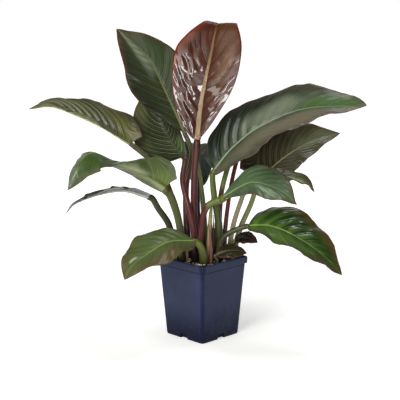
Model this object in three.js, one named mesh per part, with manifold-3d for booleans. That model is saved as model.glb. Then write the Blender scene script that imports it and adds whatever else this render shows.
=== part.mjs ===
// A potted red-stemmed aroid: a square tapered nursery pot filled with soil, and a clump of large glossy
// leaves, each on its own stalk. Millimetres, +Z up. The origin is the centre of the pot's bottom face, and
// the pot stands corner-on, with one vertical edge towards -Y.
import * as THREE from "three";
import { mergeVertices } from "three/addons/utils/BufferGeometryUtils.js";
import Module from "manifold-3d";

const wasm = await Module();
wasm.setup();

// Pot: sides are measured across flats
const POT_HEIGHT = 147;
const LIP_SIDE = 120;
const BODY_TOP_SIDE = 114;
const FOOT_SIDE = 96;
const LIP_DROP = 12.5;
const LIP_CHAMFER = 1.2;
const CORNER_RADIUS = 6;
const CORNER_STEPS = 4;
const WALL = 2;
const FOOT_ROUND = 3;
const FOOT_STEPS = 2;
const NOTCH_WIDTH = 18;
const NOTCH_HEIGHT = 10;
const NOTCH_DEPTH = 20;
const POT_TURN = Math.PI / 4;

// Soil: waves gives the ripples of its surface, in radians per millimetre
const FIT_GAP = 0.3;
const SOIL_TOP = 138;
const SOIL_BAND = 8;
const SOIL_RINGS = 8;
const SOIL_ROUNDING = 0.45;
const SOIL_EDGE_DROP = 3;
const SOIL_WAVES = [
  { x: 0.21, y: 0.17, shift: 0.6, height: 0.9 },
  { x: 0.43, y: -0.38, shift: 0, height: 0.7 },
  { x: 0.05, y: 0.51, shift: 1.3, height: 0.6 },
];
const CHIP_COUNT = 26;
const CHIP_SIZE = 4.5;
const CHIP_SEED = 41;

// Stalks stand in plain holes in the soil and end just short of their blades
const HOLE_DEPTH = 16;
const STALK_SIDES = 8;
const STALK_STEPS = 9;
const JOINT_GAP = 0.5;
const BEND_SHARE = 1.2;

// Blades: lateral veins lean towards the tip and bend, the skin bulges between them, the edge waves
const BLADE_EDGE_THICKNESS = 0.8;
const BLADE_THICKNESS = 1.2;
const VEINS_PER_HALF = 8;
const VEIN_LEAN = 0.5;
const VEIN_BEND = 1.8;
const LOBE_START = 0.07;
const BASE_START = 0.02;
const PLEAT_HEIGHT = 1.6;
const WAVES = [2.6, 3.1];
const WAVE_SHIFT = 2.1;
const DROOP = 0.1;
const KEEL_SHARE = 1.1;
const KEEL_FADE = 0.8;
const ACROSS = [0, 0.12, 0.42, 0.74, 1];

// Sheaths and short stems between the stalks
const SHEATH_SIDES = 6;
const SHEATH_STEPS = 6;
const SHEATH_HALF_THICKNESS = 1.4;
const SHEATH_TIP = 0.15;
const SHEATH_TAPER = 2.5;
const CROWN_SIDES = 10;
const CROWN_RINGS = 3;
const CROWN_NARROWING = 0.18;
const CROWN_RING_SHARE = 0.9;
const CROWN_GROOVE = 1;

const FRAME_STEP = 1e-3;
const MERGE_DISTANCE = 1e-4;
const UP = new THREE.Vector3(0, 0, 1);
const vector = ([x, y, z]) => new THREE.Vector3(x, y, z);
const mix = THREE.MathUtils.lerp;
const radians = THREE.MathUtils.degToRad;

// A repeatable draw between 0 and 1
function seededDraw(seed) {
  let state = seed;
  return () => {
    state = (state * 16807) % 2147483647;
    return state / 2147483647;
  };
}

// Leaves. stalk: points from the soil to the blade. midrib: points from the blade's base to its tip.
// face: the way the upper side looks, at even steps from base to tip. half: half widths left and right of
// the midrib. fold: degrees by which the left and right half are raised, at the base and at the tip.
// lobe: how far the base reaches back, as a share of the length. widest: where the blade is widest.
// taper and point: how pointed the base and the tip are, left and right, low for a round one.
// wave: height of the waves in its edge.
const LEAVES = [
  {
    name: "leaf_newest", tone: "redBrown", stalkTone: "wine", stalkRadius: [7.2, 6, 6.2],
    stalk: [[-8, 0, SOIL_TOP], [-14, -4, 210], [-15, -8, 280]],
    midrib: [[-10, -8, 361], [-2, -2, 431], [15, 0, 515], [26, 14, 565], [38, 48, 560]],
    face: [[-0.2, -1, 0.1], [-0.1, -0.8, 0.6], [-0.1, -0.5, 1]], half: [66, 59], fold: [[12, 12], [12, 12]],
    lobe: 0, widest: 0.6, taper: [0.62, 0.8], point: [1.6, 0.68], wave: 2,
  },
  {
    name: "leaf_tall_left", tone: "deepGreen", stalkTone: "wine", stalkRadius: [7, 5.8, 4.2],
    stalk: [[-25, 10, SOIL_TOP], [-29, 20, 200], [-30, 40, 270], [-20, 57, 332]],
    midrib: [[-34, 64, 369], [-64, 90, 431], [-100, 106, 500], [-148, 120, 547], [-162, 126, 557]],
    face: [[0.1, -0.9, 0.35]], half: [61, 54], fold: [[10, 14], [10, 14]],
    lobe: 0.04, widest: 0.5, taper: [1.3, 0.85], point: [0.85, 1.15], wave: 4,
  },
  {
    name: "leaf_broad_behind", tone: "deepGreen", stalkTone: "wine", stalkRadius: [6, 5.5, 5],
    stalk: [[-13, -15, SOIL_TOP], [-17, -18, 205], [-29, -13, 257], [-36, -2, 290]],
    midrib: [[-35, 14, 329], [-58, 58, 352], [-78, 106, 387], [-88, 138, 426], [-98, 160, 459]],
    face: [[-0.1, -0.8, 0.5]], half: [64, 25], fold: [[10, 6], [12, 12]],
    lobe: 0.05, widest: 0.42, taper: [0.62, 0.62], point: [0.85, 0.85], wave: 3,
  },
  {
    name: "leaf_arching_left", tone: "olive", stalkTone: "olive", stalkRadius: [6, 5, 4.5],
    stalk: [[-40, 14, SOIL_TOP], [-44, 12, 207], [-74, 14, 298]],
    midrib: [[-130, 22, 353], [-180, 50, 379], [-231, 72, 399], [-283, 88, 414], [-327, 96, 408]],
    face: [[0, -0.15, 1]], half: [44, 64], fold: [[34, 22], [30, 22]],
    lobe: 0.09, widest: 0.36, taper: [0.62, 0.62], point: [0.85, 0.75], wave: 3,
  },
  {
    name: "leaf_twisted_left", tone: "deepGreen", stalkTone: "stalkGreen", stalkRadius: [8, 6.5, 7.5],
    stalk: [[-38, -14, SOIL_TOP], [-40, -18, 197], [-48, -24, 238]],
    midrib: [[-67, -30, 279], [-90, -36, 297], [-118, -42, 312], [-158, -54, 333], [-192, -66, 347],
      [-218, -76, 325], [-234, -84, 284]],
    face: [[0.2, 1, 0.7], [0, 0.1, 1], [-0.4, -0.5, 0.8]], half: [62, 50], fold: [[38, 30], [-52, -20]],
    lobe: 0.11, widest: 0.4, taper: [0.62, 0.62], point: [0.85, 0.85], wave: 2,
  },
  {
    name: "leaf_edge_on_left", tone: "deepGreen", stalkTone: "olive", stalkRadius: [6.5, 6, 5.5],
    stalk: [[-56, -2, SOIL_TOP], [-60, -10, 205], [-80, -18, 240]],
    midrib: [[-96, -24, 264], [-138, -44, 279], [-180, -60, 275], [-222, -74, 260], [-240, -80, 240]],
    face: [[0, 0.18, 1]], half: [42, 42], fold: [[10, 10], [10, 10]],
    lobe: 0.03, widest: 0.42, taper: [0.7, 0.7], point: [0.85, 0.85], wave: 2,
  },
  {
    name: "leaf_front_left", tone: "brownGreen", stalkTone: "stalkGreen", stalkRadius: [8, 7.5, 5],
    stalk: [[2, -40, SOIL_TOP], [2, -43, 154], [-3, -48, 175]],
    midrib: [[-16, -52, 188], [-61, -86, 193], [-101, -120, 175], [-120, -138, 163], [-132, -150, 142]],
    face: [[-0.2, -0.5, 0.8], [-0.3, -0.6, 0.8]], half: [48, 43], fold: [[8, 14], [8, 14]],
    lobe: 0.03, widest: 0.5, taper: [0.62, 0.62], point: [0.85, 0.85], wave: 4,
  },
  {
    name: "leaf_front_right", tone: "olive", stalkTone: "stalkGreen", stalkRadius: [6, 5, 4.5],
    stalk: [[28, -22, SOIL_TOP], [36, -30, 187]],
    midrib: [[82, -40, 213], [120, -58, 216], [162, -76, 202], [207, -94, 174], [242, -106, 139]],
    face: [[0.2, -0.5, 0.8], [0.4, -0.5, 0.8]], half: [62, 44], fold: [[12, 12], [12, 12]],
    lobe: 0.04, widest: 0.4, taper: [0.42, 0.7], point: [0.95, 0.75], wave: 4,
  },
  {
    name: "leaf_long_right", tone: "deepGreen", stalkTone: "olive", stalkRadius: [7.5, 6.5, 5],
    stalk: [[30, -5, SOIL_TOP], [30, -8, 205], [21, -7, 262]],
    midrib: [[21, 10, 305], [55, -2, 349], [105, -16, 389], [182, -32, 421], [286, -46, 427]],
    face: [[0, -0.6, 0.8]], half: [64, 56], fold: [[15, 15], [15, 15]],
    lobe: 0.08, widest: 0.42, taper: [0.45, 1], point: [0.6, 0.9], wave: 5,
  },
  {
    name: "leaf_back_right", tone: "brownGreen", stalkTone: "olive", stalkRadius: [5.5, 5, 4.5],
    stalk: [[54, 10, SOIL_TOP], [70, 18, 195], [90, 28, 240]],
    midrib: [[106, 38, 280], [135, 54, 308], [167, 68, 330], [212, 84, 352], [261, 96, 363]],
    face: [[0, -0.8, 0.6]], half: [66, 36], fold: [[14, 14], [14, 14]],
    lobe: 0.11, widest: 0.36, taper: [0.32, 0.62], point: [1.1, 0.85], wave: 4,
  },
  {
    name: "leaf_middle_right", tone: "deepGreen", stalkTone: "wine", stalkRadius: [5.5, 5, 6.6],
    stalk: [[-2, -25, SOIL_TOP], [-3, -27, 190], [8, -30, 245]],
    midrib: [[36, -36, 264], [79, -62, 293], [108, -80, 294], [141, -100, 282], [162, -112, 264]],
    face: [[0.1, -0.6, 0.8]], half: [42, 40], fold: [[12, 12], [12, 12]],
    lobe: 0, widest: 0.56, taper: [0.8, 0.8], point: [1.5, 0.9], wave: 3,
  },
  {
    name: "leaf_curled_right", tone: "olive", stalkTone: "brownGreen", stalkRadius: [5, 4.5, 4],
    stalk: [[47, -3, SOIL_TOP], [55, -4, 200], [68, -4, 245]],
    midrib: [[83, -2, 276], [123, 6, 290], [160, 10, 294], [190, 12, 284], [205, 12, 264]],
    face: [[0, -0.2, 1], [0.3, -0.4, 0.8]], half: [24, 26], fold: [[12, 12], [12, 12]],
    lobe: 0.04, widest: 0.45, taper: [0.62, 0.62], point: [0.85, 0.85], wave: 3,
  },
  {
    name: "leaf_drooping_back", tone: "deepGreen", stalkTone: "olive", stalkRadius: [6, 5, 4.5],
    stalk: [[6, 28, SOIL_TOP], [2, 40, 230], [-6, 50, 290]],
    midrib: [[-12, 60, 325], [-9, 96, 341], [-6, 128, 320], [-5, 150, 284], [-5, 160, 248]],
    face: [[0, -0.3, 1], [0, 0.9, 0.4]], half: [34, 30], fold: [[12, 12], [12, 12]],
    lobe: 0.05, widest: 0.42, taper: [0.62, 0.62], point: [0.45, 0.45], wave: 4,
  },
  {
    name: "leaf_behind_upper", tone: "deepGreen", stalkTone: "stalkGreen", stalkRadius: [6, 5, 4.5],
    stalk: [[30, 12, SOIL_TOP], [31, 16, 215], [36, 22, 268]],
    midrib: [[58, 52, 335], [83, 84, 365], [115, 112, 384], [163, 138, 393], [216, 156, 383]],
    face: [[-0.2, -0.3, 1], [0.1, 0.2, 1]], half: [46, 46], fold: [[12, 12], [12, 12]],
    lobe: 0.03, widest: 0.45, taper: [0.7, 0.7], point: [0.85, 0.85], wave: 4,
  },
  {
    name: "leaf_behind_lower", tone: "olive", stalkTone: "wine", stalkRadius: [5, 4, 4],
    stalk: [[38, 30, SOIL_TOP], [46, 44, 220], [56, 60, 280]],
    midrib: [[70, 84, 322], [102, 124, 342], [140, 160, 354], [180, 190, 352], [216, 212, 332]],
    face: [[0, 0, 1], [0.2, 0.3, 1]], half: [42, 42], fold: [[12, 12], [12, 12]],
    lobe: 0.03, widest: 0.45, taper: [0.7, 0.7], point: [0.85, 0.85], wave: 3,
  },
  {
    name: "leaf_small_dark", tone: "brownGreen", stalkTone: "olive", stalkRadius: [3, 2.6, 2.4],
    stalk: [[54, -16, SOIL_TOP], [55, -18, 176]],
    midrib: [[57, -38, 186], [68, -44, 191], [78, -49, 192], [88, -53, 190], [98, -56, 185]],
    face: [[0.1, -0.6, 0.8]], half: [16, 15], fold: [[8, 8], [8, 8]],
    lobe: 0, widest: 0.45, taper: [0.62, 0.62], point: [0.85, 0.85], wave: 1,
  },
  {
    name: "leaf_small_olive", tone: "olive", stalkTone: "brownGreen", stalkRadius: [3, 2.6, 2.4],
    stalk: [[28, -40, SOIL_TOP], [26, -42, 150]],
    midrib: [[24, -44, 160], [38, -45, 166], [53, -42, 168], [66, -38, 166], [80, -34, 161]],
    face: [[0, -0.6, 0.8]], half: [16, 17], fold: [[6, 6], [6, 6]],
    lobe: 0, widest: 0.5, taper: [0.5, 0.5], point: [0.85, 0.85], wave: 1,
  },
];

const SHEATHS = [
  {
    name: "sheath_brown", tone: "sheathBrown", halfWidth: 5,
    path: [[15, -36, SOIL_TOP], [15, -33, 172], [12, -30, 212]],
  },
  {
    name: "sheath_straw", tone: "straw", halfWidth: 5,
    path: [[10, -10, SOIL_TOP], [12, -12, 185], [14, -14, 236]],
  },
  {
    name: "sheath_left", tone: "straw", halfWidth: 4,
    path: [[-28, -8, SOIL_TOP], [-29, -11, 160], [-31, -14, 182]],
  },
];

const CROWNS = [
  { name: "crown_left", place: [-40, 1], radius: 5, height: 14 },
  { name: "crown_middle", place: [14, 4], radius: 8.5, height: 78 },
  { name: "crown_right", place: [41, 17], radius: 4.5, height: 12 },
];

const COLOURS = {
  potBlue: { color: 0x3a3e57, roughness: 0.48, metalness: 0 },
  soilBrown: { color: 0x2c2119, roughness: 0.95, metalness: 0 },
  redBrown: { color: 0x6e3c2d, roughness: 0.35, metalness: 0 },
  deepGreen: { color: 0x2c3f24, roughness: 0.38, metalness: 0 },
  olive: { color: 0x4a5530, roughness: 0.38, metalness: 0 },
  brownGreen: { color: 0x50412c, roughness: 0.4, metalness: 0 },
  wine: { color: 0x6e2d32, roughness: 0.4, metalness: 0 },
  stalkGreen: { color: 0x697d3c, roughness: 0.45, metalness: 0 },
  straw: { color: 0xa98d66, roughness: 0.8, metalness: 0 },
  sheathBrown: { color: 0x8a5f4a, roughness: 0.7, metalness: 0 },
  crownGreen: { color: 0x5a5a34, roughness: 0.7, metalness: 0 },
};
const finish = (tone) => new THREE.MeshStandardMaterial(COLOURS[tone]);

function geometryOf(points, triangles) {
  const geometry = new THREE.BufferGeometry();
  const numbers = points.flatMap((point) => point.toArray());
  geometry.setAttribute("position", new THREE.Float32BufferAttribute(numbers, 3));
  geometry.setIndex(triangles);
  return geometry;
}

// Closed body through a list of rings with the same number of points, with a flat cap on each end
function loft(rings) {
  const count = rings[0].length;
  const points = rings.flat();
  const triangles = [];
  for (let r = 0; r < rings.length - 1; r++) {
    for (let i = 0; i < count; i++) {
      const a = r * count + i;
      const b = r * count + ((i + 1) % count);
      triangles.push(a, b, b + count, a, b + count, a + count);
    }
  }
  const last = (rings.length - 1) * count;
  for (let i = 1; i < count - 1; i++) {
    triangles.push(0, i + 1, i, last, last + i, last + i + 1);
  }
  return geometryOf(points, triangles);
}

// Ring of a square with round corners, corner-on, at one height
function squareRing(side, corner, z) {
  const ring = [];
  const inset = side / 2 - corner;
  for (let quarter = 0; quarter < 4; quarter++) {
    const middle = (quarter + 0.5) * (Math.PI / 2);
    for (let i = 0; i <= CORNER_STEPS; i++) {
      const angle = (quarter + i / CORNER_STEPS) * (Math.PI / 2);
      const x = Math.sign(Math.cos(middle)) * inset + Math.cos(angle) * corner;
      const y = Math.sign(Math.sin(middle)) * inset + Math.sin(angle) * corner;
      ring.push(new THREE.Vector3(x, y, z).applyAxisAngle(UP, POT_TURN));
    }
  }
  return ring;
}

function solidOf(geometry) {
  const bare = new THREE.BufferGeometry();
  bare.setAttribute("position", geometry.getAttribute("position").clone());
  bare.setIndex(geometry.index ? geometry.index.clone() : null);
  const merged = mergeVertices(bare, MERGE_DISTANCE);
  return new wasm.Manifold(
    new wasm.Mesh({
      numProp: 3,
      vertProperties: new Float32Array(merged.attributes.position.array),
      triVerts: new Uint32Array(merged.index.array),
    }),
  );
}

function geometryFrom(solid) {
  const mesh = solid.getMesh();
  const geometry = new THREE.BufferGeometry();
  const positions = new Float32Array(mesh.numVert * 3);
  for (let i = 0; i < mesh.numVert; i++) {
    for (let k = 0; k < 3; k++) positions[3 * i + k] = mesh.vertProperties[i * mesh.numProp + k];
  }
  geometry.setAttribute("position", new THREE.BufferAttribute(positions, 3));
  geometry.setIndex(new THREE.BufferAttribute(new Uint32Array(mesh.triVerts), 1));
  return geometry;
}

// The largest connected piece, so that no cut leaves a loose scrap
function largestPiece(solid) {
  return solid.decompose().reduce((best, piece) => (piece.volume() > best.volume() ? piece : best));
}

const bodySide = (z) => mix(FOOT_SIDE, BODY_TOP_SIDE, z / (POT_HEIGHT - LIP_DROP));

function potGeometry() {
  const rings = [];
  for (let i = 0; i <= FOOT_STEPS; i++) {
    const angle = (i / FOOT_STEPS) * (Math.PI / 2);
    const z = FOOT_ROUND * (1 - Math.cos(angle));
    rings.push(squareRing(bodySide(z) - FOOT_ROUND * (1 - Math.sin(angle)), CORNER_RADIUS, z));
  }
  const lipUnder = POT_HEIGHT - LIP_DROP;
  const lipInside = LIP_SIDE - 2 * WALL;
  const innerCorner = CORNER_RADIUS - WALL;
  rings.push(
    squareRing(BODY_TOP_SIDE, CORNER_RADIUS, lipUnder),
    squareRing(LIP_SIDE - 2 * LIP_CHAMFER, CORNER_RADIUS, lipUnder),
    squareRing(LIP_SIDE, CORNER_RADIUS, lipUnder + LIP_CHAMFER),
    squareRing(LIP_SIDE, CORNER_RADIUS, POT_HEIGHT - LIP_CHAMFER),
    squareRing(LIP_SIDE - 2 * LIP_CHAMFER, CORNER_RADIUS, POT_HEIGHT),
    squareRing(lipInside, innerCorner, POT_HEIGHT - LIP_CHAMFER / 3),
    squareRing(lipInside, innerCorner, lipUnder + WALL),
    squareRing(BODY_TOP_SIDE - 2 * WALL, innerCorner, lipUnder + WALL / 2),
    squareRing(bodySide(WALL) - 2 * WALL, innerCorner, WALL),
  );
  let pot = solidOf(loft(rings));
  const notch = new THREE.BoxGeometry(NOTCH_WIDTH, NOTCH_DEPTH, 2 * NOTCH_HEIGHT);
  for (let side = 0; side < 4; side++) {
    const turned = notch.clone().translate(0, FOOT_SIDE / 2, 0).rotateZ(POT_TURN + side * (Math.PI / 2));
    pot = pot.subtract(solidOf(turned));
  }
  return geometryFrom(pot);
}

// Height of the soil's surface
function soilHeight(x, y) {
  const rise = (wave) => wave.height * Math.sin(wave.x * x + wave.y * y + wave.shift);
  return SOIL_WAVES.reduce((z, wave) => z + rise(wave), SOIL_TOP);
}

function soilGeometry(holes) {
  const side = (z) => bodySide(z) - 2 * WALL - 2 * FIT_GAP;
  const corner = CORNER_RADIUS - WALL;
  const rim = SOIL_TOP - SOIL_BAND;
  const rings = [squareRing(side(WALL), corner, WALL + FIT_GAP), squareRing(side(rim), corner, rim)];
  for (let i = 0; i < SOIL_RINGS; i++) {
    const share = 1 - i / SOIL_RINGS;
    const width = side(rim) * share;
    const ring = squareRing(width, mix(width * SOIL_ROUNDING, corner, share), 0);
    const drop = i === 0 ? SOIL_EDGE_DROP : 0;
    rings.push(ring.map((point) => point.setZ(soilHeight(point.x, point.y) - drop)));
  }
  let soil = solidOf(loft(rings));

  const draw = seededDraw(CHIP_SEED);
  const reach = side(rim) / 2 - CHIP_SIZE;
  for (let i = 0; i < CHIP_COUNT; i++) {
    const spot = new THREE.Vector3(mix(-reach, reach, draw()), mix(-reach, reach, draw()), 0);
    spot.applyAxisAngle(UP, POT_TURN);
    const chip = new THREE.OctahedronGeometry(CHIP_SIZE * mix(0.6, 1, draw()));
    chip.scale(1, mix(0.5, 0.8, draw()), 0.5).rotateX(draw()).rotateZ(2 * Math.PI * draw());
    chip.translate(spot.x, spot.y, soilHeight(spot.x, spot.y) + FIT_GAP);
    soil = soil.add(solidOf(chip));
  }
  for (const hole of holes) soil = soil.subtract(hole);
  return geometryFrom(largestPiece(soil));
}

const midribOf = (leaf) => new THREE.CatmullRomCurve3(leaf.midrib.map(vector), false, "catmullrom", 0.5);

// Vector between the listed ones, which stand at even steps from 0 to 1
function steppedMix(list, share) {
  const place = share * (list.length - 1);
  const step = Math.min(Math.floor(place), Math.max(list.length - 2, 0));
  return vector(list[step]).lerp(vector(list[Math.min(step + 1, list.length - 1)]), place - step);
}

// The blade's own frame at a share of its midrib; below 0 it runs straight back past the base
function bladeFrame(leaf, curve, share) {
  const along = THREE.MathUtils.clamp(share, 0, 1);
  const tangent = curve.getTangentAt(along);
  const origin = curve.getPointAt(along).addScaledVector(tangent, Math.min(share, 0) * curve.getLength());
  const side = tangent.clone().cross(steppedMix(leaf.face, along)).normalize();
  const up = side.clone().cross(tangent);
  return { origin, tangent, side, up };
}

// Half width as a share of the widest, from the lobes' back (0) to the tip (1)
function outline(leaf, share, half) {
  if (share < leaf.widest) return Math.sin((Math.PI / 2) * (share / leaf.widest)) ** leaf.taper[half];
  return Math.cos((Math.PI / 2) * ((share - leaf.widest) / (1 - leaf.widest))) ** leaf.point[half];
}

// Point of the upper side. s: where the lateral vein leaves the midrib. t: -1 to 1, edge to edge along it.
function bladePoint(leaf, curve, s, t) {
  const half = t < 0 ? 0 : 1;
  const reach = Math.abs(t);
  const start = leaf.lobe > 0 ? LOBE_START : BASE_START;
  const end = mix(start, 1, s + VEIN_LEAN * s * (1 - s));
  const margin = end * (1 + leaf.lobe) - leaf.lobe;
  const share = mix(s, margin, reach ** VEIN_BEND);
  const size = outline(leaf, end, half);
  const across = reach * size * leaf.half[half];
  const fold = radians(mix(leaf.fold[0][half], leaf.fold[1][half], Math.max(share, 0)));
  const pleat = Math.abs(Math.sin(Math.PI * VEINS_PER_HALF * s)) * 4 * reach * (1 - reach) * PLEAT_HEIGHT;
  const turn = 2 * Math.PI * WAVES[half] * s + WAVE_SHIFT * half + leaf.wave;
  const wave = leaf.wave * reach ** 2 * Math.sin(turn);
  const droop = DROOP * leaf.half[half] * reach ** 2;
  const frame = bladeFrame(leaf, curve, share);
  return frame.origin
    .addScaledVector(frame.side, Math.sign(t) * across * Math.cos(fold))
    .addScaledVector(frame.up, across * Math.sin(fold) + (pleat + wave - droop) * size);
}

// Depth of the midrib's ridge under the blade's base
const keelDepth = (leaf) => KEEL_SHARE * leaf.stalkRadius[2];

function bladeGeometry(leaf) {
  const curve = midribOf(leaf);
  const rows = 2 * VEINS_PER_HALF;
  const across = [...ACROSS.slice(1).map((t) => -t).reverse(), ...ACROSS];
  const top = [];
  const bottom = [];
  for (let row = 0; row < rows; row++) {
    const s = row / rows;
    for (const t of across) {
      const point = bladePoint(leaf, curve, s, t);
      const next = bladePoint(leaf, curve, s + FRAME_STEP, t).sub(point);
      const step = t > 0 ? -FRAME_STEP : FRAME_STEP;
      const aside = bladePoint(leaf, curve, s, t + step).sub(point).multiplyScalar(Math.sign(step));
      const normal = aside.cross(next).normalize();
      const rib = t === 0 ? keelDepth(leaf) * (1 - s) ** KEEL_FADE : 0;
      const thickness = mix(BLADE_THICKNESS, BLADE_EDGE_THICKNESS, Math.abs(t)) + rib;
      top.push(point);
      bottom.push(point.clone().addScaledVector(normal, -thickness));
    }
  }
  const tip = curve.getPointAt(1);
  top.push(tip);
  bottom.push(tip.clone().addScaledVector(bladeFrame(leaf, curve, 1).up, -BLADE_EDGE_THICKNESS));

  const width = across.length;
  const shift = top.length;
  const triangles = [];
  const both = (a, b, c) => triangles.push(a, b, c, a + shift, c + shift, b + shift);
  const wall = (a, b) => triangles.push(a, a + shift, b + shift, a, b + shift, b);
  for (let row = 0; row < rows - 1; row++) {
    for (let i = 0; i < width - 1; i++) {
      const a = row * width + i;
      if (i < width / 2 - 1) {
        both(a, a + 1, a + width);
        both(a + 1, a + width + 1, a + width);
      } else {
        both(a, a + 1, a + width + 1);
        both(a, a + width + 1, a + width);
      }
    }
    wall(row * width + width, row * width);
    wall(row * width + width - 1, row * width + 2 * width - 1);
  }
  const lastRow = (rows - 1) * width;
  for (let i = 0; i < width - 1; i++) {
    both(lastRow + i, lastRow + i + 1, shift - 1);
    wall(i, i + 1);
  }
  wall(shift - 1, lastRow);
  wall(lastRow + width - 1, shift - 1);
  return geometryOf([...top, ...bottom], triangles);
}

// Tube with an elliptic section along a path; sectionAt gives its two half axes at a share of the length
function tubeGeometry(path, sectionAt, sides, steps, endTangent) {
  const rings = [];
  let side = new THREE.Vector3(1, 0, 0);
  for (let i = 0; i <= steps; i++) {
    const share = i / steps;
    const tangent = i === steps && endTangent ? endTangent : path.getTangentAt(share);
    side = side.clone().addScaledVector(tangent, -side.dot(tangent)).normalize();
    const other = tangent.clone().cross(side);
    const centre = path.getPointAt(share);
    const [wide, thick] = sectionAt(share);
    const ring = [];
    for (let k = 0; k < sides; k++) {
      const angle = (2 * Math.PI * k) / sides;
      const point = centre.clone().addScaledVector(side, wide * Math.cos(angle));
      ring.push(point.addScaledVector(other, thick * Math.sin(angle)));
    }
    rings.push(ring);
  }
  return loft(rings);
}

// The first point carried down into the soil
function footBelow(points) {
  return points[0].clone().sub(points[1]).normalize().multiplyScalar(HOLE_DEPTH).add(points[0]);
}

// Stalk of a leaf, round, tapering from its foot to the blade; extra is added to its radius for its hole
function stalkGeometry(leaf, extra = 0) {
  const [low, middle, high] = leaf.stalkRadius;
  const base = bladeFrame(leaf, midribOf(leaf), 0);
  const end = base.origin.addScaledVector(base.up, -keelDepth(leaf) / 2);
  end.addScaledVector(base.tangent, -JOINT_GAP);
  const before = end.clone().addScaledVector(base.tangent, -BEND_SHARE * high);
  const stalk = leaf.stalk.map(vector);
  const path = new THREE.CatmullRomCurve3([footBelow(stalk), ...stalk, before, end]);
  const sectionAt = (share) => {
    const radius = share < 0.5 ? mix(low, middle, 2 * share) : mix(middle, high, 2 * share - 1);
    return [radius + extra, radius + extra];
  };
  return tubeGeometry(path, sectionAt, STALK_SIDES, STALK_STEPS, base.tangent);
}

// Dry sheath left by an older leaf: a flat strip that narrows to a point
function sheathGeometry(sheath, extra = 0) {
  const points = sheath.path.map(vector);
  const path = new THREE.CatmullRomCurve3([footBelow(points), ...points]);
  const sectionAt = (share) => {
    const narrow = mix(SHEATH_TIP, 1, Math.cos((Math.PI / 2) * share ** SHEATH_TAPER));
    return [sheath.halfWidth * narrow + extra, SHEATH_HALF_THICKNESS * mix(1, 0.5, share) + extra];
  };
  return tubeGeometry(path, sectionAt, SHEATH_SIDES, SHEATH_STEPS);
}

// Short ringed stem between the feet of the stalks
function crownGeometry(crown, extra = 0) {
  const step = crown.height / CROWN_RINGS;
  const profile = [new THREE.Vector2(0, -HOLE_DEPTH), new THREE.Vector2(crown.radius + extra, -HOLE_DEPTH)];
  for (let ring = 0; ring < CROWN_RINGS; ring++) {
    const radius = crown.radius * (1 - CROWN_NARROWING * ring) + extra;
    profile.push(new THREE.Vector2(radius, step * ring));
    profile.push(new THREE.Vector2(radius * CROWN_RING_SHARE, step * (ring + 1) - CROWN_GROOVE));
  }
  profile.push(new THREE.Vector2(0, crown.height + extra));
  const geometry = new THREE.LatheGeometry(profile, CROWN_SIDES);
  return geometry.rotateX(Math.PI / 2).translate(crown.place[0], crown.place[1], SOIL_TOP);
}

function meshOf(name, geometry, tone) {
  const mesh = new THREE.Mesh(geometry, finish(tone));
  mesh.name = name;
  return mesh;
}

const group = new THREE.Group();
group.add(meshOf("pot", potGeometry(), "potBlue"));
const holes = [];
for (const leaf of LEAVES) {
  group.add(meshOf(`${leaf.name}_blade`, bladeGeometry(leaf), leaf.tone));
  group.add(meshOf(`${leaf.name}_stalk`, stalkGeometry(leaf), leaf.stalkTone));
  holes.push(solidOf(stalkGeometry(leaf, FIT_GAP)));
}
for (const sheath of SHEATHS) {
  group.add(meshOf(sheath.name, sheathGeometry(sheath), sheath.tone));
  holes.push(solidOf(sheathGeometry(sheath, FIT_GAP)));
}
for (const crown of CROWNS) {
  group.add(meshOf(crown.name, crownGeometry(crown), "crownGreen"));
  holes.push(solidOf(crownGeometry(crown, FIT_GAP)));
}
group.add(meshOf("soil", soilGeometry(holes), "soilBrown"));

export default group;
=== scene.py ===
from math import atan2, cos, exp, hypot, pi, radians, sin, sqrt
from types import SimpleNamespace

import bmesh
import bpy
import numpy as np
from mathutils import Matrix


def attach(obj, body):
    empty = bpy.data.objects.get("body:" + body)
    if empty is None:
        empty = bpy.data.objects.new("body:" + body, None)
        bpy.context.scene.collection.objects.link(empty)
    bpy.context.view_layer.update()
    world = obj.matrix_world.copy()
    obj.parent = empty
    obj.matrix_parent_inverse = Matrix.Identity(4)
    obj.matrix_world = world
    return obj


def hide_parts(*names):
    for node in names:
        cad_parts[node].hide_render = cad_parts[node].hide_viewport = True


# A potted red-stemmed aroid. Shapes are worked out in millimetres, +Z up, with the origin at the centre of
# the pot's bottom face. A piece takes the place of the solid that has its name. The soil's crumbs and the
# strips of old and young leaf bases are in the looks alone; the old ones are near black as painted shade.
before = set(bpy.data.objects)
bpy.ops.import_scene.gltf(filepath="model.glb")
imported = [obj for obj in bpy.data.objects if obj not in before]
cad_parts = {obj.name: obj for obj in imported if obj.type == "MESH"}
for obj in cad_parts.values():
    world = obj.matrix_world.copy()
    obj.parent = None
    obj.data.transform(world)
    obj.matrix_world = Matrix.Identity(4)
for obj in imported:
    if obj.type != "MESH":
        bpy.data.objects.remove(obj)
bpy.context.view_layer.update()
MM = 0.001
NOISE_SIZE = 64
WELD_DISTANCE = 2e-6

# Pot
POT_HEIGHT = 147
LIP_SIDE = 120
BODY_TOP_SIDE = 114
FOOT_SIDE = 96
LIP_DROP = 12.5
UNDER_LIP = POT_HEIGHT - LIP_DROP
LIP_ROUND = 1.4
LIP_SWELL = 0.4
NECK_ROUND = 1.2
NECK_LEDGE = 2
CORNER_RADIUS = 6
CORNER_STEPS = 14
WALL = 2
INNER_ROUND = 0.4
INNER_RING = 70
FOOT_ROUND = 3
NOTCH_WIDTH = 18
NOTCH_HEIGHT = 10
NOTCH_DEPTH = 20
NOTCH_BELOW = 5
SHARP_ANGLE = 35

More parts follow.
